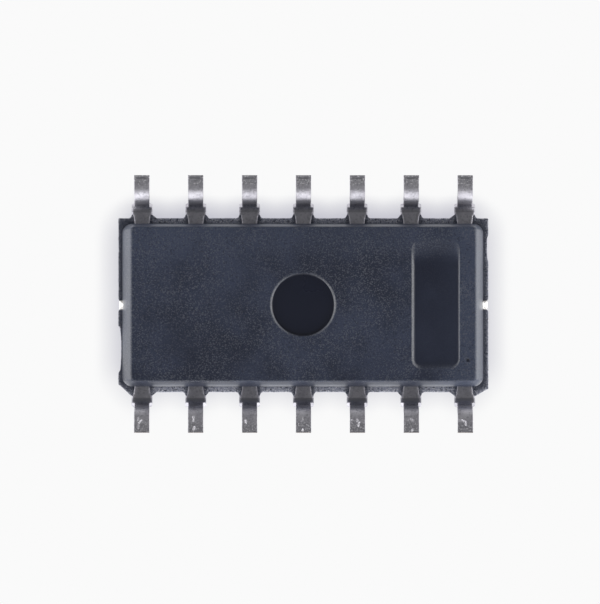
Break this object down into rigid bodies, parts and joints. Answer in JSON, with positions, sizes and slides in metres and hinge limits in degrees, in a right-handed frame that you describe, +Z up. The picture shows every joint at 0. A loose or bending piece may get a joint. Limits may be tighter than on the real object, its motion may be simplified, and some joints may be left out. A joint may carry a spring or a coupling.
{
  "type": "small outline chip",
  "caption": "Small outline chip package: a flat moulded resin body with two rows of gull wing leads, and its paddle, die and bond wires inside.",
  "frame": {"origin": "centre of the plane that the feet stand on, under the middle of the body", "axes": "+X along the body towards the end with the shallow pocket in the underside, +Z up to the top face. Lead 1 is at -X and -Y, and the numbers run anticlockwise as seen from above."},
  "size_m": [0.0088, 0.006, 0.0016],
  "materials": {
    "mold_resin": "dark blue grey silica filled epoxy, finely eroded mould texture",
    "tinned_lead": "copper alloy strip with satin tin plating",
    "die_adhesive": "silver filled epoxy",
    "silicon": "polished silicon",
    "bond_wire": "drawn gold wire"
  },
  "bodies": {
    "root": {"lead_01": "tinned_lead", "lead_02": "tinned_lead", "lead_03": "tinned_lead", "lead_04": "tinned_lead", "lead_05": "tinned_lead", "lead_06": "tinned_lead", "lead_07": "tinned_lead", "lead_08": "tinned_lead", "lead_09": "tinned_lead", "lead_10": "tinned_lead", "lead_11": "tinned_lead", "lead_12": "tinned_lead", "lead_13": "tinned_lead", "lead_14": "tinned_lead", "die_paddle": "tinned_lead", "die_attach": "die_adhesive", "silicon_die": "silicon", "bond_wire_01": "bond_wire", "bond_wire_02": "bond_wire", "bond_wire_03": "bond_wire", "bond_wire_04": "bond_wire", "bond_wire_05": "bond_wire", "bond_wire_06": "bond_wire", "bond_wire_07": "bond_wire", "bond_wire_08": "bond_wire", "bond_wire_09": "bond_wire", "bond_wire_10": "bond_wire", "bond_wire_11": "bond_wire", "bond_wire_12": "bond_wire", "bond_wire_13": "bond_wire", "bond_wire_14": "bond_wire", "mold_compound": "mold_resin"}
  },
  "joints": []
}
